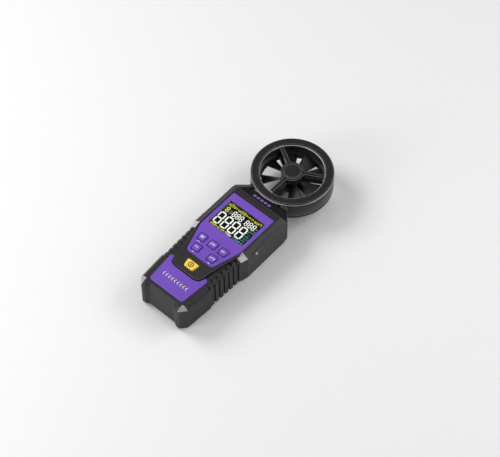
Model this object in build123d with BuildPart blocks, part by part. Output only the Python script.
from build123d import *
import math
import os

# Handheld weather meter with a vane duct above a tapered body, lying on its back.
# +X is to the right, +Y towards the vane duct, +Z out of the display.
# The origin is the centre of the bounding box's underside. All sizes are millimetres.

# --- Body -------------------------------------------------------------------------------
body_length = 102.8
body_width = 47.8
body_depth = 27.4
wall = 1.8
rear_floor = 2.8
cap_seam_drop = 2.3
upper_body_length = 41.3
shoulder_length = 5.5
shoulder_inset = 1.5
bevel_width = 4.1
bevel_drop = 2.8
upper_deck_drop = 1.0
rear_edge_chamfer = 1.2
seam_gap = 0.15

# --- Rubber grips and bumper ------------------------------------------------------------
rubber_side = 2.6
rubber_end = 3.2
rubber_rear = 2.2
rubber_front_drop = 1.8
rubber_seat_drop = 5.4
rubber_bevel = 2.2
grip_length = 29.0
grip_gap = 0.5
grip_foot_inset = 2.6
rib_count = 6
rib_pitch = 4.5
rib_first = 4.0
rib_groove = 1.7
rib_depth = 1.4
rib_reach = 5.0
rib_slope = 14
bumper_top_inset = 1.9
bumper_foot_inset = 3.3
foot_height = 4.6
foot_outer = 7.2
foot_inner = 9.8
foot_arch = 13.1
foot_arch_height = 1.8
stud_drop = 32.8
stud_radius = 1.0
stud_proud = 0.9

# --- Front plates -----------------------------------------------------------------------
deck_drop = 3.0
deck_thickness = 1.6
plate_margin = 7.4
plate_side_inset = 5.45
face_plate_thickness = 2.5
plate_foot_half = 11.9
plate_corner = 2.4
plate_lean = 0.4
plate_knee_drop = 0.6
plate_gap = 0.3
mask_rim = 1.0
tongue_half = 13.75
tongue_flat_half = 8.6
tongue_corner_height = 4.6
tongue_corner = 1.9
tongue_corner_rise = 1.2
tongue_lean = 0.5
tongue_knee_rise = 2.8
lower_plate_thickness = 1.9
lower_plate_top_half = 16.7
lower_plate_foot_half = 14.85
lower_plate_margin = 6.2
horn_height = 5.6
panel_corner = 1.2

# --- Display ----------------------------------------------------------------------------
window_width = 31.1
window_height = 23.5
window_drop = 14.0
window_thickness = 1.2
window_recess = 0.1
panel_lip = 1.8
panel_gap = 0.2
panel_thickness = 2.6
frame_width = 36.0
frame_height = 28.0
backlight_thickness = 2.4
strip_width = 1.8

# --- Keys -------------------------------------------------------------------------------
key_width = 6.1
key_height = 5.2
key_corner = 0.9
key_slant = 0.9
key_gap = 0.25
key_flange = 0.7
key_flange_thickness = 1.0
key_proud = 0.6
key_travel = 0.9
key_edge = 0.35
key_moat = 0.4
key_moat_depth = 0.7
upper_row_drop = 12.1
row_pitch = 8.7
upper_row_pitch = 9.7
lower_row_half = 7.15
plate_foot_drop = 5.9
power_drop = 7.4
power_top_half = 4.9
power_foot_half = 3.7
power_height = 6.1
tongue_drop = 6.7

# --- Circuit board ----------------------------------------------------------------------
board_thickness = 1.2
board_lift = 1.5
board_clearance = 0.7
board_head_half = 18.0
board_screw_radius = 0.9
board_boss_radius = 1.7
board_foot_screw_inset = 2.5
board_foot_screw_drop = 1.2
board_head_screw_half = 15.8
board_head_screw_rise = 6.8
switch_size = 5.0
switch_height = 2.5
plunger_radius = 1.2
plunger_height = 0.6
mat_thickness = 0.8
mat_gap = 0.1
buzzer_radius = 6.0
buzzer_height = 3.4
chip_size = 9.0
chip_height = 1.3

# --- Batteries and door -----------------------------------------------------------------
cell_radius = 5.25
cell_length = 44.5
cell_nub_radius = 1.9
cell_nub_length = 0.8
cell_gap = 0.3
contact_thickness = 0.5
contact_bulge = 1.2
contact_taper = 20
bay_wall = 1.2
bay_margin = 8.0
door_thickness = 1.6
door_tongue = 0.8
door_tongue_thickness = 0.7
door_gap = 0.15
door_land = 1.0
door_rib_count = 4
door_rib_pitch = 2.0

# --- Screws -----------------------------------------------------------------------------
screw_radius = 1.1
screw_head_radius = 1.8
screw_head_height = 1.6
screw_boss_radius = 2.4
screw_gap = 0.15
low_screw_rise = 22.0
head_screw_drop = 4.5

# --- Vane duct --------------------------------------------------------------------------
duct_opening_radius = 22.8
duct_wall = 6.5
duct_depth = 16.0
duct_front_drop = 1.0
duct_lip = 0.5
duct_edge = 1.0
neck_height = 8.7
neck_half = 16.3
neck_front_drop = 2.4
neck_bevel_drop = 2.2
neck_bevel_width = 3.6
neck_rear_rise = 2.6
neck_wall = 2.0
neck_cavity_half = 13.0
neck_step_offsets = [(1.3, 1.2), (3.0, 1.6), (3.6, 3.2), (5.2, 3.8), (5.7, 5.6), (7.2, 6.4)]
spoke_count = 3
spoke_start = 30
spoke_width = 2.6
spoke_depth = 2.6
hub_radius = 8.0
hub_depth = 4.3
hub_recess = 0.4
cap_radius = 6.2
cap_seat = 0.8
cap_dome = 0.5
cap_taper = 45

# --- Impeller ---------------------------------------------------------------------------
blade_count = 8
blade_angle = 31
blade_depth = 4.4
blade_thickness = 0.9
tip_gap = 0.6
impeller_hub_radius = 6.4
impeller_hub_depth = 5.4
shaft_radius = 0.75
shaft_gap = 0.04
bearing_radius = 2.0
bearing_length = 1.8
bearing_rise = 0.4
shaft_end_gap = 0.5
magnet_radius = 3.0
magnet_depth = 1.5
pickup_length = 2.4
pickup_width = 3.0
pickup_height = 1.2
lead_width = 1.6
lead_thickness = 0.4
probe_board_width = 14.0
probe_board_length = 3.6
probe_size = 2.6
probe_slot_inset = 4.3
probe_slot_length = 3.4
probe_slot_width = 0.9
probe_slot_lean = 22

# --- Places along the length ------------------------------------------------------------
half_width = body_width / 2
duct_radius = duct_opening_radius + duct_wall
duct_height = body_length + neck_height + math.sqrt(duct_radius**2 - neck_half**2)
overall_length = duct_height + duct_radius
y_foot = -overall_length / 2
y_duct = y_foot + duct_height
y_top = y_foot + body_length
y_cap = y_top - cap_seam_drop
y_shoulder = y_top - upper_body_length
y_waist = y_shoulder - shoulder_length
y_plate_top = y_top - plate_margin
y_window = y_top - window_drop - window_height / 2
y_upper_row = y_window - window_height / 2 - upper_row_drop
y_lower_row = y_upper_row - row_pitch
y_plate_foot = y_lower_row - plate_foot_drop
y_power = y_plate_foot - power_drop
y_tongue = y_power - tongue_drop
y_horn = y_tongue + horn_height
y_lower_plate = y_foot + lower_plate_margin
y_grip = y_waist - grip_length
y_bumper = y_grip - grip_gap
y_stud = y_top - stud_drop

# --- Levels above the rear face ---------------------------------------------------------
z_split = body_depth / 2
z_deck = body_depth - deck_drop
z_ceiling = z_deck - deck_thickness
z_rubber_seat = body_depth - rubber_seat_drop
z_rubber_front = body_depth - rubber_front_drop
z_upper_deck = body_depth - upper_deck_drop
z_stud = z_upper_deck - bevel_drop - 2 * stud_radius
z_face_plate = z_deck + face_plate_thickness
z_key_flange = z_ceiling - key_flange_thickness - 2 * mat_gap
z_board = z_split + board_lift
z_parts = z_board + board_thickness
z_duct_front = body_depth - duct_front_drop
z_duct_rear = z_duct_front - duct_depth
z_vane = z_duct_front - duct_depth / 2
z_hub_front = z_duct_front - hub_recess
z_hub_rear = z_duct_rear + hub_recess
z_cell = door_gap + door_thickness + cell_gap + cell_radius
z_bay_top = z_split - door_gap

# --- Sizes that follow from fits --------------------------------------------------------
bay_half = 2 * cell_radius + 2 * cell_gap
bay_length = cell_length + cell_nub_length + 2 * contact_thickness + 2 * contact_bulge
y_bay = y_foot + bay_margin
door_half = bay_half + door_land
door_slot_half = door_half + door_tongue + door_gap
door_length = bay_margin - rubber_end + bay_length + 2 * door_land
screw_x = door_slot_half + screw_head_radius + bay_wall / 2 + screw_gap
y_low_screw = y_foot + low_screw_rise
y_head_screw = y_cap - head_screw_drop
head_screw_x = neck_cavity_half + neck_wall
board_half = screw_x - screw_boss_radius - board_clearance
board_screw_x = board_half - board_foot_screw_inset
panel_width = window_width + 2 * panel_lip
panel_height = window_height + 2 * panel_lip
z_panel = z_face_plate - window_recess - window_thickness - panel_gap
z_panel_foot = z_panel - panel_thickness
duct_axis = Axis((0, y_duct, 0), (0, 0, 1))
duct_section = Plane(origin=(0, y_duct, 0), x_dir=(1, 0, 0), z_dir=(0, -1, 0))
board_screws = [
    (-board_screw_x, y_power - board_foot_screw_drop),
    (board_screw_x, y_power - board_foot_screw_drop),
    (-board_head_screw_half, y_upper_row + board_head_screw_rise),
    (board_head_screw_half, y_upper_row + board_head_screw_rise),
]
keys = [
    ("key_upper_left", -upper_row_pitch, y_upper_row, key_slant),
    ("key_upper_middle", 0, y_upper_row, 0),
    ("key_upper_right", upper_row_pitch, y_upper_row, -key_slant),
    ("key_lower_left", -lower_row_half, y_lower_row, key_slant),
    ("key_lower_right", lower_row_half, y_lower_row, -key_slant),
]


def save(piece, name):
    """Label a finished piece and write it to its own file."""
    piece.part.label = name
    export_step(piece.part, f"parts/{name}.step")


def mirrored(right_side, mode=Mode.ADD):
    """Closed face whose right side runs through the points, and whose left side mirrors it."""
    left_side = [(-x, y) for x, y in reversed(right_side)]
    Polygon(*right_side, *left_side, align=None, mode=mode)


def outer_side():
    """Right side of the body's widest outline, with its two feet, from the bottom up."""
    return [
        (half_width - foot_arch, y_foot + foot_arch_height),
        (half_width - foot_inner, y_foot),
        (half_width - foot_outer, y_foot),
        (half_width - bumper_foot_inset, y_foot + foot_height),
        (half_width - bumper_top_inset, y_bumper),
        (half_width - grip_foot_inset, y_grip),
        (half_width - shoulder_inset, y_waist),
        (half_width, y_shoulder),
        (half_width, y_cap),
    ]


def core_side(inset=0.0):
    """Right side of the hard shells, which step in where the rubber wraps them."""
    return [
        (half_width - bumper_foot_inset - rubber_side - inset, y_foot + rubber_end + inset),
        (half_width - bumper_top_inset - rubber_side - inset, y_grip),
        (half_width - shoulder_inset - rubber_side - inset, y_waist + inset),
        (half_width - shoulder_inset - inset, y_waist + inset),
        (half_width - inset, y_shoulder + inset / 2),
        (half_width - inset, y_cap),
    ]


def plate_side(grow=0.0):
    """Right side of the upper face plate: straight beside the window, tapered by the keys."""
    return [
        (plate_foot_half - plate_corner + grow / 2, y_plate_foot - grow),
        (plate_foot_half - plate_lean + grow, y_plate_foot + plate_corner / 3 - grow / 2),
        (plate_foot_half + plate_lean + grow, y_plate_foot + plate_corner),
        (half_width - plate_side_inset + grow, y_shoulder - plate_knee_drop),
        (half_width - plate_side_inset + grow, y_plate_top + grow),
    ]


def mask_side(grow=0.0):
    """Right side of the mask: a thin rim round the face plate that ends in the tongue."""
    rim = half_width - plate_side_inset + mask_rim + plate_gap
    return [
        (tongue_flat_half + grow / 2, y_tongue - grow),
        (tongue_half - tongue_corner + grow, y_tongue + tongue_corner_rise - grow / 2),
        (tongue_half - tongue_lean + grow, y_tongue + tongue_corner_height),
        (tongue_half + grow, y_power + tongue_knee_rise),
        (rim + grow, y_shoulder - plate_knee_drop),
        (rim + grow, y_plate_top + plate_gap + mask_rim + grow),
    ]


def lower_plate_side(grow=0.0):
    """Right side of the lower plate, before the tongue is cut out of it."""
    return [
        (lower_plate_foot_half - panel_corner + grow, y_lower_plate - grow),
        (lower_plate_foot_half + grow, y_lower_plate + panel_corner - grow),
        (lower_plate_top_half + grow, y_horn - panel_corner + grow / 2),
        (lower_plate_top_half - panel_corner + grow / 2, y_horn + grow),
    ]


def key_face(slant, grow=0.0):
    """Rounded key outline about the sketch's origin; its outer side leans in at the bottom."""
    across = key_width / 2 + grow
    along = key_height / 2 + grow
    lean_left = max(slant, 0)
    lean_right = min(slant, 0)
    Polygon(
        (-across + lean_left, -along),
        (across + lean_right, -along),
        (across, along),
        (-across, along),
        align=None,
    )
    fillet(vertices(), key_corner + grow / 2)


def stud_plane(side):
    """Plane half way through the side wall, where a side stud is seated, facing outwards."""
    seat = (side * (half_width - wall / 2), y_stud, z_stud)
    return Plane(origin=seat, x_dir=(0, 1, 0), z_dir=(side, 0, 0))


def power_face(grow=0.0):
    """Rounded trapezoid of the power key, wider at the top."""
    along = power_height / 2 + grow
    Polygon(
        (-power_foot_half - grow, -along),
        (power_foot_half + grow, -along),
        (power_top_half + grow, along),
        (-power_top_half - grow, along),
        align=None,
    )
    fillet(vertices(), key_corner + grow / 2)


# --- Rear shell: tub with the battery bay, the door's slot and four screw bosses ----------
with BuildPart() as rear_shell:
    with BuildSketch(Plane.XY):
        mirrored(core_side())
    extrude(amount=z_split)
    rear_edges = rear_shell.faces().sort_by(Axis.Z)[0].edges().filter_by(Axis.X, reverse=True)
    chamfer(rear_edges, rear_edge_chamfer)
    with BuildSketch(Plane.XY.offset(rear_floor)):
        mirrored(core_side(wall))
    extrude(amount=z_split - rear_floor, mode=Mode.SUBTRACT)
    with BuildSketch(Plane((0, y_bay + bay_length / 2, rear_floor))):
        Rectangle(2 * (bay_half + bay_wall), bay_length + 2 * bay_wall)
    extrude(amount=z_bay_top - rear_floor)
    with BuildSketch(Plane((0, y_bay + bay_length / 2, 0))):
        Rectangle(2 * bay_half, bay_length)
    extrude(amount=z_bay_top - bay_wall / 2, mode=Mode.SUBTRACT)
    with BuildSketch(Plane((0, y_foot + rubber_end + door_length / 2, 0))):
        Rectangle(2 * (door_half + door_gap), door_length + 2 * door_gap)
    extrude(amount=door_thickness + 2 * door_gap, mode=Mode.SUBTRACT)
    with BuildSketch(Plane((0, y_foot + rubber_end + door_length / 2, door_thickness / 2))):
        Rectangle(2 * door_slot_half, door_length + 2 * door_gap)
    extrude(amount=door_thickness / 2 + 2 * door_gap, mode=Mode.SUBTRACT)
    with BuildSketch(Plane.XY.offset(rear_floor)):
        with Locations((screw_x, y_low_screw), (-screw_x, y_low_screw)):
            Circle(screw_boss_radius)
    extrude(amount=z_split - rear_floor)
    with BuildSketch(Plane.XY.offset(rear_floor)):
        with Locations((head_screw_x, y_head_screw), (-head_screw_x, y_head_screw)):
            Circle(screw_boss_radius)
    extrude(amount=rear_floor / 2)
    with BuildSketch(Plane.XY):
        with Locations((screw_x, y_low_screw), (-screw_x, y_low_screw)):
            Circle(screw_head_radius + screw_gap)
        with Locations((head_screw_x, y_head_screw), (-head_screw_x, y_head_screw)):
            Circle(screw_head_radius + screw_gap)
    extrude(amount=screw_head_height + screw_gap, mode=Mode.SUBTRACT)
    with BuildSketch(Plane.XY):
        with Locations((screw_x, y_low_screw), (-screw_x, y_low_screw)):
            Circle(screw_radius + screw_gap)
        with Locations((head_screw_x, y_head_screw), (-head_screw_x, y_head_screw)):
            Circle(screw_radius + screw_gap)
    extrude(amount=z_split, mode=Mode.SUBTRACT)
save(rear_shell, "rear_shell")

# --- Front shell: bevelled upper body, lowered seat for the rubber, raised deck ------------
with BuildPart() as front_shell:
    with BuildSketch(Plane.XY.offset(z_split)):
        mirrored(
            [
                (half_width - shoulder_inset, y_waist),
                (half_width, y_shoulder),
                (half_width, y_cap),
            ]
        )
    extrude(amount=z_upper_deck - z_split)
    bevel_edges = front_shell.faces().sort_by(Axis.Z)[-1].edges().filter_by(Axis.X, reverse=True)
    chamfer(bevel_edges, length=bevel_drop, length2=bevel_width)
    with BuildSketch(Plane.XY.offset(z_split)):
        mirrored(core_side())
    extrude(amount=z_rubber_seat - z_split)
    with BuildSketch(Plane.XY.offset(z_rubber_seat)):
        mirrored(lower_plate_side())
        mirrored(mask_side())
    extrude(amount=z_deck - z_rubber_seat)
    with BuildSketch(Plane.XY.offset(z_deck)):
        mirrored(mask_side(seam_gap))
    extrude(amount=z_upper_deck - z_deck, mode=Mode.SUBTRACT)
    with BuildSketch(Plane.XY.offset(z_split)):
        mirrored(core_side(wall))
    extrude(amount=z_rubber_seat - wall - z_split, mode=Mode.SUBTRACT)
    with BuildSketch(Plane.XY.offset(z_split)):
        mirrored(mask_side(-wall / 2))
    extrude(amount=z_ceiling - z_split, mode=Mode.SUBTRACT)
    with BuildSketch(Plane.XY.offset(z_split)):
        with Locations((screw_x, y_low_screw), (-screw_x, y_low_screw)):
            Circle(screw_boss_radius)
        with Locations((head_screw_x, y_head_screw), (-head_screw_x, y_head_screw)):
            Circle(screw_boss_radius)
    extrude(amount=z_rubber_seat - z_split)
    with BuildSketch(Plane.XY.offset(z_parts)):
        with Locations(*board_screws):
            Circle(board_boss_radius)
    extrude(amount=z_ceiling - z_parts)
    with BuildSketch(Plane((0, y_window, z_ceiling))):
        Rectangle(panel_width + 2 * panel_gap, panel_height + 2 * panel_gap)
    extrude(amount=deck_thickness, mode=Mode.SUBTRACT)
    for _, x, y, slant in keys:
        with BuildSketch(Plane((x, y, z_ceiling))):
            key_face(slant, key_gap)
        extrude(amount=deck_thickness, mode=Mode.SUBTRACT)
    with BuildSketch(Plane((0, y_power, z_ceiling))):
        power_face(key_gap)
    extrude(amount=deck_thickness, mode=Mode.SUBTRACT)
    with BuildSketch(Plane.XY.offset(z_split)):
        with Locations((screw_x, y_low_screw), (-screw_x, y_low_screw)):
            Circle(screw_radius)
        with Locations((head_screw_x, y_head_screw), (-head_screw_x, y_head_screw)):
            Circle(screw_radius)
    extrude(amount=rear_floor, mode=Mode.SUBTRACT)
    with BuildSketch(Plane.XY.offset(z_parts)):
        with Locations(*board_screws):
            Circle(board_screw_radius)
    extrude(amount=rear_floor, mode=Mode.SUBTRACT)
    for side in (-1, 1):
        with BuildSketch(stud_plane(side)):
            Circle(stud_radius)
        extrude(amount=wall, mode=Mode.SUBTRACT)
save(front_shell, "front_shell")

with BuildPart() as side_studs:
    for side in (-1, 1):
        with BuildSketch(stud_plane(side)):
            Circle(stud_radius)
        extrude(amount=wall / 2 + stud_proud)
save(side_studs, "side_studs")

# --- Mask: thin rim round the face plate that widens into the tongue -----------------------
with BuildPart() as mask:
    with BuildSketch(Plane.XY.offset(z_deck)):
        mirrored(mask_side())
        mirrored(plate_side(plate_gap), mode=Mode.SUBTRACT)
    extrude(amount=deck_drop)
    with BuildSketch(Plane((0, y_power, z_deck))):
        power_face(key_gap)
    extrude(amount=deck_drop, mode=Mode.SUBTRACT)
    with BuildSketch(Plane((0, y_power, body_depth - key_moat_depth))):
        power_face(key_gap + key_moat)
    extrude(amount=key_moat_depth, mode=Mode.SUBTRACT)
    rim_edges = mask.faces().sort_by(Axis.Z)[-1].outer_wire().edges()
    chamfer(rim_edges, key_edge)
save(mask, "mask")

# --- Face plate: coloured upper panel with the window and five key openings ----------------
with BuildPart() as face_plate:
    with BuildSketch(Plane.XY.offset(z_deck)):
        mirrored(plate_side())
    extrude(amount=face_plate_thickness)
    plate_edges = face_plate.faces().sort_by(Axis.Z)[-1].edges()
    chamfer(plate_edges, key_edge)
    with BuildSketch(Plane((0, y_window, z_deck))):
        Rectangle(panel_width + 2 * panel_gap, panel_height + 2 * panel_gap)
    extrude(amount=z_panel + panel_gap - z_deck, mode=Mode.SUBTRACT)
    with BuildSketch(Plane((0, y_window, z_deck))):
        Rectangle(window_width, window_height)
    extrude(amount=face_plate_thickness, mode=Mode.SUBTRACT)
    for _, x, y, slant in keys:
        with BuildSketch(Plane((x, y, z_deck))):
            key_face(slant, key_gap)
        extrude(amount=face_plate_thickness, mode=Mode.SUBTRACT)
        with BuildSketch(Plane((x, y, z_face_plate - key_moat_depth))):
            key_face(slant, key_gap + key_moat)
        extrude(amount=key_moat_depth, mode=Mode.SUBTRACT)
save(face_plate, "face_plate")

# --- Lower plate: coloured panel whose two horns reach up beside the tongue -----------------
with BuildPart() as lower_plate:
    with BuildSketch(Plane.XY.offset(z_deck)):
        mirrored(lower_plate_side())
        mirrored(mask_side(plate_gap), mode=Mode.SUBTRACT)
    extrude(amount=lower_plate_thickness)
    panel_edges = lower_plate.faces().sort_by(Axis.Z)[-1].edges()
    chamfer(panel_edges, key_edge)
save(lower_plate, "lower_plate")

# --- Rubber: a sleeve round the lower body, cut into two ribbed grips and the bumper ---------
for side, name in ((-1, "left_grip"), (1, "right_grip")):
    with BuildPart() as grip:
        with BuildSketch(Plane.XY.offset(rubber_rear)):
            mirrored(outer_side())
        extrude(amount=z_rubber_front - rubber_rear)
        chamfer(grip.faces().sort_by(Axis.Z)[-1].edges(), rubber_bevel)
        with BuildSketch(Plane.XY):
            mirrored(core_side())
        extrude(amount=z_rubber_seat, mode=Mode.SUBTRACT)
        with BuildSketch(Plane.XY.offset(z_rubber_seat)):
            mirrored(mask_side(seam_gap))
            mirrored(lower_plate_side(seam_gap))
        extrude(amount=body_depth, mode=Mode.SUBTRACT)
        with BuildSketch(Plane((side * half_width / 2, (y_waist + y_grip) / 2, 0))):
            Rectangle(half_width, grip_length - 2 * seam_gap)
        extrude(amount=body_depth, mode=Mode.INTERSECT)
        for rib in range(rib_count):
            y_rib = y_grip + rib_first + rib_pitch * rib
            share = (y_rib - y_grip) / grip_length
            x_rib = half_width - grip_foot_inset + (grip_foot_inset - shoulder_inset) * share
            slope = -side * rib_slope
            with BuildSketch(Plane((side * x_rib, y_rib, 0))):
                with Locations(Location((0, 0), slope)):
                    Rectangle(2 * rib_depth, rib_groove)
            extrude(amount=body_depth, mode=Mode.SUBTRACT)
            with BuildSketch(Plane((side * x_rib, y_rib, z_rubber_front - rib_depth))):
                with Locations(Location((0, 0), slope)):
                    Rectangle(2 * rib_reach, rib_groove)
            extrude(amount=body_depth, mode=Mode.SUBTRACT)
    save(grip, name)

with BuildPart() as bumper:
    with BuildSketch(Plane.XY.offset(rubber_rear)):
        mirrored(outer_side())
    extrude(amount=z_rubber_front - rubber_rear)
    chamfer(bumper.faces().sort_by(Axis.Z)[-1].edges(), rubber_bevel)
    with BuildSketch(Plane.XY):
        mirrored(core_side())
    extrude(amount=z_rubber_seat, mode=Mode.SUBTRACT)
    with BuildSketch(Plane.XY.offset(z_rubber_seat)):
        mirrored(mask_side(seam_gap))
        mirrored(lower_plate_side(seam_gap))
    extrude(amount=body_depth, mode=Mode.SUBTRACT)
    with BuildSketch(Plane((0, (y_bumper + y_foot) / 2, 0))):
        Rectangle(body_width, y_bumper - y_foot)
    extrude(amount=body_depth, mode=Mode.INTERSECT)
save(bumper, "bumper")

# --- Display: lens, liquid-crystal panel, its frame, light guide and connector strip ---------
with BuildPart() as display_window:
    with BuildSketch(Plane((0, y_window, z_panel + panel_gap))):
        Rectangle(window_width - window_recess, window_height - window_recess)
    extrude(amount=window_thickness)
save(display_window, "display_window")

with BuildPart() as lcd_panel:
    with BuildSketch(Plane((0, y_window, z_panel_foot))):
        Rectangle(panel_width, panel_height)
    extrude(amount=panel_thickness)
save(lcd_panel, "lcd_panel")

y_strip = y_window - panel_height / 2 + strip_width
light_height = frame_height - 4 * strip_width
y_light = y_window + strip_width
with BuildPart() as lcd_frame:
    with BuildSketch(Plane((0, y_window, z_parts))):
        Rectangle(frame_width, frame_height)
    extrude(amount=z_ceiling - mat_gap - z_parts)
    with BuildSketch(Plane((0, y_light, z_parts))):
        Rectangle(window_width, light_height)
    extrude(amount=z_ceiling - z_parts, mode=Mode.SUBTRACT)
    with BuildSketch(Plane((0, y_strip, z_parts))):
        Rectangle(window_width, strip_width)
    extrude(amount=z_ceiling - z_parts, mode=Mode.SUBTRACT)
    with BuildSketch(Plane((0, y_window, z_panel_foot))):
        Rectangle(panel_width + panel_gap, panel_height + panel_gap)
    extrude(amount=panel_thickness, mode=Mode.SUBTRACT)
save(lcd_frame, "lcd_frame")

with BuildPart() as light_guide:
    with BuildSketch(Plane((0, y_light, z_panel_foot - backlight_thickness))):
        Rectangle(window_width - mat_gap, light_height - mat_gap)
    extrude(amount=backlight_thickness)
save(light_guide, "light_guide")

with BuildPart() as connector_strip:
    with BuildSketch(Plane((0, y_strip, z_parts))):
        Rectangle(window_width - strip_width, strip_width - mat_gap)
    extrude(amount=z_panel_foot - z_parts)
save(connector_strip, "connector_strip")

# --- Keys: five caps and the power key, each with a flange kept under the deck --------------
for name, x, y, slant in keys:
    with BuildPart() as key:
        with BuildSketch(Plane((x, y, z_key_flange))):
            key_face(slant, key_flange)
        extrude(amount=key_flange_thickness)
        with BuildSketch(Plane((x, y, z_key_flange))):
            key_face(slant)
        extrude(amount=z_face_plate + key_proud - z_key_flange)
        chamfer(key.faces().sort_by(Axis.Z)[-1].edges(), key_edge)
    save(key, name)

with BuildPart() as power_key:
    with BuildSketch(Plane((0, y_power, z_key_flange))):
        power_face(key_flange)
    extrude(amount=key_flange_thickness)
    with BuildSketch(Plane((0, y_power, z_key_flange))):
        power_face()
    extrude(amount=body_depth + key_proud - z_key_flange)
    chamfer(power_key.faces().sort_by(Axis.Z)[-1].edges(), key_edge)
save(power_key, "power_key")

# --- Circuit board, held to the front shell by four screws from behind ----------------------
y_board_foot = y_bay + bay_wall
y_board_step = y_upper_row + key_height
y_board_head = y_head_screw - screw_boss_radius - panel_gap
with BuildPart() as main_board:
    with BuildSketch(Plane.XY.offset(z_board)):
        mirrored(
            [
                (board_half, y_board_foot),
                (board_half, y_board_step),
                (board_head_half, y_board_step),
                (board_head_half, y_board_head),
            ]
        )
        with Locations(*board_screws):
            Circle(board_screw_radius + screw_gap, mode=Mode.SUBTRACT)
    extrude(amount=board_thickness)
save(main_board, "main_board")

switch_places = [(x, y) for _, x, y, _ in keys] + [(0, y_power)]
for number, (x, y) in enumerate(switch_places, start=1):
    with BuildPart() as switch:
        with BuildSketch(Plane((x, y, z_parts))):
            RectangleRounded(switch_size, switch_size, key_corner)
        extrude(amount=switch_height)
        with BuildSketch(Plane((x, y, z_parts + switch_height))):
            Circle(plunger_radius)
        extrude(amount=plunger_height)
    save(switch, f"switch_{number}")

z_mat = z_parts + switch_height + plunger_height + mat_gap
y_mat_step = (y_upper_row + y_lower_row) / 2
with BuildPart() as keypad_mat:
    with BuildSketch(Plane.XY.offset(z_mat)):
        mirrored(
            [
                (board_half - board_boss_radius, y_power - power_height / 2 - key_flange),
                (board_half - board_boss_radius, y_mat_step),
                (upper_row_pitch + key_width / 2, y_mat_step),
                (upper_row_pitch + key_width / 2, y_upper_row + key_height / 2),
            ]
        )
        with Locations(*board_screws[:2]):
            Circle(board_boss_radius + 2 * mat_gap, mode=Mode.SUBTRACT)
    extrude(amount=mat_thickness)
save(keypad_mat, "keypad_mat")

y_chips = y_window - chip_size / 2
with BuildPart() as controller:
    with BuildSketch(Plane((chip_size, y_chips, z_board - chip_height))):
        RectangleRounded(chip_size, chip_size, key_corner)
    extrude(amount=chip_height)
save(controller, "controller")

with BuildPart() as buzzer:
    with BuildSketch(Plane((-chip_size, y_chips, z_board - buzzer_height))):
        Circle(buzzer_radius)
    extrude(amount=buzzer_height)
    chamfer(buzzer.faces().sort_by(Axis.Z)[0].edges(), key_edge)
    with BuildSketch(Plane((-chip_size, y_chips, z_board - buzzer_height))):
        Circle(board_screw_radius)
    extrude(amount=buzzer_height / 2, mode=Mode.SUBTRACT)
save(buzzer, "buzzer")

with BuildPart() as board_screw_set:
    for x, y in board_screws:
        with BuildSketch(Plane((x, y, z_board - board_screw_radius))):
            Circle(2 * board_screw_radius)
            Rectangle(2 * board_screw_radius, board_screw_radius / 2, mode=Mode.SUBTRACT)
        extrude(amount=board_screw_radius)
        with BuildSketch(Plane((x, y, z_board))):
            Circle(board_screw_radius)
        extrude(amount=board_thickness + 2 * board_screw_radius)
save(board_screw_set, "board_screws")

# --- Batteries: two cells side by side, their contacts and the sliding door -----------------
y_cell = y_bay + contact_thickness + contact_bulge
for number, side in ((1, -1), (2, 1)):
    x_cell = side * (cell_radius + cell_gap / 2)
    with BuildPart() as cell:
        cell_plane = Plane(origin=(x_cell, y_cell, z_cell), x_dir=(1, 0, 0), z_dir=(0, 1, 0))
        with BuildSketch(cell_plane):
            Circle(cell_radius)
        extrude(amount=cell_length)
        chamfer(cell.edges().filter_by(GeomType.CIRCLE), key_edge)
        y_end = y_cell + cell_length if side > 0 else y_cell
        nub_plane = Plane(origin=(x_cell, y_end, z_cell), x_dir=(1, 0, 0), z_dir=(0, side, 0))
        with BuildSketch(nub_plane):
            Circle(cell_nub_radius)
        extrude(amount=cell_nub_length)
    save(cell, f"battery_{number}")

contact_ends = (
    ("contact_lower", y_bay, 1),
    ("contact_upper", y_bay + bay_length, -1),
)
for name, y_end, inward in contact_ends:
    with BuildPart() as contact:
        strap_plane = Plane(origin=(0, y_end, z_cell), x_dir=(1, 0, 0), z_dir=(0, inward, 0))
        with BuildSketch(strap_plane):
            Rectangle(2 * (bay_half - cell_gap), cell_radius)
        extrude(amount=contact_thickness)
        leaf_origin = (inward * cell_radius, y_end + inward * contact_thickness, z_cell)
        leaf_plane = Plane(origin=leaf_origin, x_dir=(1, 0, 0), z_dir=(0, inward, 0))
        with BuildSketch(leaf_plane):
            Circle(cell_nub_radius)
        extrude(amount=contact_bulge - mat_gap, taper=contact_taper)
    save(contact, name)

y_door = y_foot + rubber_end + door_gap + door_length / 2
with BuildPart() as battery_door:
    with BuildSketch(Plane((0, y_door, door_gap))):
        Rectangle(2 * door_half, door_length)
    extrude(amount=door_thickness)
    with BuildSketch(Plane((0, y_door, door_thickness / 2 + 2 * door_gap))):
        Rectangle(2 * (door_half + door_tongue), door_length)
    extrude(amount=door_tongue_thickness)
    for rib in range(door_rib_count):
        y_rib = y_door - door_length / 2 + door_rib_pitch * (rib + 2)
        with BuildSketch(Plane((0, y_rib, door_gap))):
            Rectangle(cell_radius * 2, 2 * cell_gap)
        extrude(amount=cell_gap, mode=Mode.SUBTRACT)
save(battery_door, "battery_door")

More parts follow.
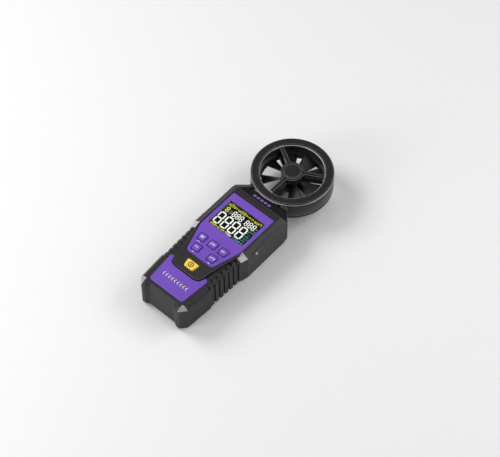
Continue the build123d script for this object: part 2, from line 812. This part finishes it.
# --- Housing screws, heads in the rear shell, ends in the front shell ------------------------
screw_sets = (
    ("case_screws", screw_x, y_low_screw),
    ("head_screws", head_screw_x, y_head_screw),
)
for name, x_screw, y_screw in screw_sets:
    with BuildPart() as screws:
        for side in (-1, 1):
            with BuildSketch(Plane((side * x_screw, y_screw, screw_gap))):
                Circle(screw_head_radius)
                Rectangle(screw_head_radius, screw_head_radius / 4, mode=Mode.SUBTRACT)
                Rectangle(screw_head_radius / 4, screw_head_radius, mode=Mode.SUBTRACT)
            extrude(amount=screw_head_height / 2)
            with BuildSketch(Plane((side * x_screw, y_screw, screw_head_height / 2))):
                Circle(screw_head_radius)
            extrude(amount=screw_head_height / 2 + screw_gap)
            with BuildSketch(Plane((side * x_screw, y_screw, screw_head_height))):
                Circle(screw_radius)
            extrude(amount=z_split + rear_floor - 2 * screw_gap - screw_head_height)
    save(screws, name)

# --- Vane duct: two ring halves, each with its half of the neck, three spokes and a hub -------
z_neck_front = body_depth - neck_front_drop
z_neck_rear = neck_rear_rise
neck_steps = [(half_width, y_cap), (half_width, y_top)]
neck_steps += [(half_width - inset, y_top + rise) for inset, rise in neck_step_offsets]
neck_steps += [(neck_half, y_top + neck_height)]
neck_smooth = [
    (half_width, y_cap),
    (half_width, y_top),
    (neck_half, y_top + neck_height - neck_wall),
    (neck_half, y_top + neck_height),
]
cavity_top = y_duct - duct_radius - neck_wall / 2
lug_half = screw_boss_radius + panel_gap
lug_foot = y_head_screw - screw_boss_radius
lug_top = y_cap + neck_wall
z_lug_foot = rear_floor * 1.5 + screw_gap
z_lead = z_hub_rear + spoke_depth - lead_thickness - mat_gap
y_pickup = y_duct - bearing_radius - door_land - pickup_length / 2

with BuildPart() as duct_front:
    with BuildSketch(Plane.XY.offset(z_split)):
        mirrored(neck_steps)
    extrude(amount=z_neck_front - bevel_width - z_split)
    with BuildSketch(Plane.XY.offset(z_neck_front - bevel_width)):
        mirrored(neck_smooth)
    extrude(amount=bevel_width)
    cap_faces = duct_front.faces().sort_by(Axis.Z)[-1].edges().filter_by(Axis.X, reverse=True)
    chamfer(cap_faces, length=neck_bevel_drop, length2=neck_bevel_width)
    with BuildSketch(Plane((0, y_duct, z_split))):
        Circle(duct_radius - duct_edge)
    extrude(amount=body_depth, mode=Mode.SUBTRACT)
    with BuildSketch(duct_section):
        Polygon(
            (duct_opening_radius, z_split),
            (duct_radius, z_split),
            (duct_radius, z_duct_front - duct_edge),
            (duct_radius - duct_edge, z_duct_front),
            (duct_opening_radius + duct_edge, z_duct_front),
            (duct_opening_radius, z_duct_front - duct_edge),
            align=None,
        )
    revolve(axis=duct_axis)
    with BuildSketch(Plane((0, (cavity_top + y_cap) / 2, z_split))):
        Rectangle(2 * neck_cavity_half, cavity_top - y_cap)
    extrude(amount=z_neck_front - neck_wall - z_split, mode=Mode.SUBTRACT)
    with BuildSketch(Plane((0, y_duct, z_hub_front - spoke_depth))):
        with PolarLocations(duct_opening_radius / 2 + duct_edge, spoke_count, start_angle=spoke_start):
            Rectangle(duct_opening_radius, spoke_width)
    extrude(amount=spoke_depth)
    with BuildSketch(Plane((0, y_duct, z_hub_front - hub_depth))):
        Circle(hub_radius)
    extrude(amount=hub_depth)
    with BuildSketch(Plane((0, y_duct, z_hub_front - hub_depth))):
        Circle(bearing_radius)
    extrude(amount=hub_depth, mode=Mode.SUBTRACT)
    with BuildSketch(Plane((0, y_duct, z_hub_front - cap_seat))):
        Circle(cap_radius + mat_gap)
    extrude(amount=cap_seat, mode=Mode.SUBTRACT)
    with BuildSketch(Plane.XY.offset(z_neck_front - 2 * neck_wall)):
        for side in (-1, 1):
            slot_place = (side * (neck_half - probe_slot_inset), y_top + neck_height / 2)
            with Locations(Location(slot_place, 90 + side * probe_slot_lean)):
                SlotOverall(probe_slot_length, probe_slot_width)
    extrude(amount=2 * neck_wall, mode=Mode.SUBTRACT)
save(duct_front, "duct_front")

with BuildPart() as duct_rear:
    with BuildSketch(Plane.XY.offset(z_neck_rear)):
        mirrored(neck_steps)
    extrude(amount=z_split - z_neck_rear)
    with BuildSketch(Plane((0, y_duct, z_neck_rear))):
        Circle(duct_radius - duct_edge)
    extrude(amount=body_depth, mode=Mode.SUBTRACT)
    with BuildSketch(duct_section):
        Polygon(
            (duct_opening_radius - duct_lip, z_split),
            (duct_radius, z_split),
            (duct_radius, z_duct_rear + duct_edge),
            (duct_radius - duct_edge, z_duct_rear),
            (duct_opening_radius + duct_edge, z_duct_rear),
            (duct_opening_radius - duct_lip, z_duct_rear + duct_edge + duct_lip),
            align=None,
        )
    revolve(axis=duct_axis)
    with BuildSketch(Plane((0, (cavity_top + y_cap) / 2, z_neck_rear + neck_wall))):
        Rectangle(2 * neck_cavity_half, cavity_top - y_cap)
    extrude(amount=z_split - z_neck_rear - neck_wall, mode=Mode.SUBTRACT)
    for side in (-1, 1):
        with BuildSketch(Plane((side * head_screw_x, (lug_foot + lug_top) / 2, z_lug_foot))):
            Rectangle(2 * lug_half - neck_wall / 2, lug_top - lug_foot)
        extrude(amount=z_split - z_lug_foot)
        with BuildSketch(Plane((side * head_screw_x, y_head_screw, z_lug_foot))):
            Circle(screw_radius + screw_gap)
        extrude(amount=z_split - z_lug_foot, mode=Mode.SUBTRACT)
    with BuildSketch(Plane((0, y_duct, z_hub_rear))):
        with PolarLocations(duct_opening_radius / 2 + duct_edge, spoke_count, start_angle=spoke_start):
            Rectangle(duct_opening_radius, spoke_width)
    extrude(amount=spoke_depth)
    with BuildSketch(Plane((0, y_duct, z_hub_rear))):
        Circle(hub_radius)
    extrude(amount=hub_depth)
    with BuildSketch(Plane((0, y_duct, z_hub_rear))):
        Circle(bearing_radius)
    extrude(amount=hub_depth, mode=Mode.SUBTRACT)
    with BuildSketch(Plane((0, y_duct, z_hub_rear))):
        Circle(cap_radius + mat_gap)
    extrude(amount=cap_seat, mode=Mode.SUBTRACT)
    with BuildSketch(Plane((0, y_pickup, z_lead))):
        Rectangle(pickup_width + mat_gap, pickup_length + mat_gap)
    extrude(amount=hub_depth, mode=Mode.SUBTRACT)
    with BuildSketch(Plane((0, (y_pickup + cavity_top) / 2, z_lead))):
        Rectangle(lead_width + mat_gap, y_pickup - cavity_top + neck_wall)
    extrude(amount=lead_thickness + mat_gap, mode=Mode.SUBTRACT)
save(duct_rear, "duct_rear")

# --- Hub caps, bearings and the impeller on its shaft -----------------------------------------
for name, z_cap, outward in (("hub_cap_front", z_hub_front, 1), ("hub_cap_rear", z_hub_rear, -1)):
    cap_origin = (0, y_duct, z_cap - outward * cap_seat)
    cap_plane = Plane(origin=cap_origin, x_dir=(1, 0, 0), z_dir=(0, 0, outward))
    with BuildPart() as hub_cap:
        with BuildSketch(cap_plane):
            Circle(cap_radius)
        extrude(amount=cap_seat)
        with BuildSketch(cap_plane.offset(cap_seat)):
            Circle(cap_radius)
        extrude(amount=cap_dome, taper=cap_taper)
    save(hub_cap, name)

z_bearing_front = z_hub_front - hub_depth + bearing_rise
z_bearing_rear = z_hub_rear + hub_depth - bearing_rise - bearing_length
for name, z_bearing in (("bearing_front", z_bearing_front), ("bearing_rear", z_bearing_rear)):
    with BuildPart() as bearing:
        with BuildSketch(Plane((0, y_duct, z_bearing))):
            Circle(bearing_radius)
            Circle(shaft_radius + shaft_gap, mode=Mode.SUBTRACT)
        extrude(amount=bearing_length)
    save(bearing, name)

z_shaft_foot = z_bearing_rear - shaft_end_gap / 2
z_shaft_head = z_bearing_front + bearing_length + shaft_end_gap / 2
with BuildPart() as vane_shaft:
    with BuildSketch(Plane((0, y_duct, z_shaft_foot))):
        Circle(shaft_radius)
    extrude(amount=z_shaft_head - z_shaft_foot)
save(vane_shaft, "vane_shaft")

z_impeller = z_vane - impeller_hub_depth / 2
tip_radius = duct_opening_radius - duct_lip - tip_gap
root_radius = impeller_hub_radius - blade_thickness


def blade_section(radius):
    """Slanted blade section at a radius: the same depth everywhere, wider towards the tip."""
    half_chord = radius * math.tan(math.radians(blade_angle / 2))
    half_depth = blade_depth / 2
    across = blade_thickness / 2
    Polygon(
        (-half_chord, -half_depth),
        (-half_chord + 2 * across, -half_depth),
        (half_chord, half_depth),
        (half_chord - 2 * across, half_depth),
        align=None,
    )


with BuildPart() as blade:
    for radius in (root_radius, duct_opening_radius):
        section = Plane(origin=(0, radius, z_vane), x_dir=(1, 0, 0), z_dir=(0, 1, 0))
        with BuildSketch(section):
            blade_section(radius)
    loft(ruled=True)
    with BuildSketch(Plane((0, 0, 0))):
        Circle(tip_radius)
    extrude(amount=body_depth, mode=Mode.INTERSECT)

with BuildPart() as impeller:
    with BuildSketch(Plane((0, y_duct, z_impeller))):
        Circle(impeller_hub_radius)
    extrude(amount=impeller_hub_depth)
    chamfer(impeller.faces().sort_by(Axis.Z)[-1].edges(), key_edge)
    with Locations((0, y_duct, 0)):
        with PolarLocations(0, blade_count):
            add(blade.part)
    with BuildSketch(Plane((0, y_duct, z_impeller))):
        Circle(shaft_radius)
    extrude(amount=impeller_hub_depth, mode=Mode.SUBTRACT)
    with BuildSketch(Plane((0, y_duct, z_impeller))):
        Circle(magnet_radius)
    extrude(amount=magnet_depth, mode=Mode.SUBTRACT)
save(impeller, "impeller")

with BuildPart() as rotor_magnet:
    with BuildSketch(Plane((0, y_duct, z_impeller))):
        Circle(magnet_radius)
        Circle(shaft_radius, mode=Mode.SUBTRACT)
    extrude(amount=magnet_depth)
save(rotor_magnet, "rotor_magnet")

# --- Speed pickup under the magnet, its flat lead, and the air probe in the neck ----------------
with BuildPart() as speed_pickup:
    with BuildSketch(Plane((0, y_pickup, z_lead + lead_thickness))):
        Rectangle(pickup_width, pickup_length)
    extrude(amount=pickup_height)
save(speed_pickup, "speed_pickup")

y_lead_rise = y_cap + neck_wall
y_lead_end = y_board_head - chip_size / 2
with BuildPart() as sensor_lead:
    with BuildSketch(Plane((0, (y_pickup + y_lead_rise) / 2, z_lead))):
        Rectangle(lead_width, y_pickup - y_lead_rise)
    extrude(amount=lead_thickness)
    with BuildSketch(Plane((0, y_lead_rise + lead_thickness / 2, z_lead))):
        Rectangle(lead_width, lead_thickness)
    extrude(amount=z_board - z_lead)
    with BuildSketch(Plane((0, (y_lead_rise + y_lead_end) / 2, z_board - lead_thickness))):
        Rectangle(lead_width, y_lead_rise - y_lead_end)
    extrude(amount=lead_thickness)
save(sensor_lead, "sensor_lead")

z_probe_board = z_neck_front - neck_wall - board_thickness
y_probe = (y_cap + cavity_top) / 2
with BuildPart() as probe_board:
    with BuildSketch(Plane((0, y_probe, z_probe_board))):
        Rectangle(probe_board_width, probe_board_length)
    extrude(amount=board_thickness)
save(probe_board, "probe_board")

with BuildPart() as air_probe:
    with BuildSketch(Plane((0, y_probe, z_probe_board - probe_size / 2))):
        Rectangle(probe_size, probe_size)
    extrude(amount=probe_size / 2)
save(air_probe, "air_probe")
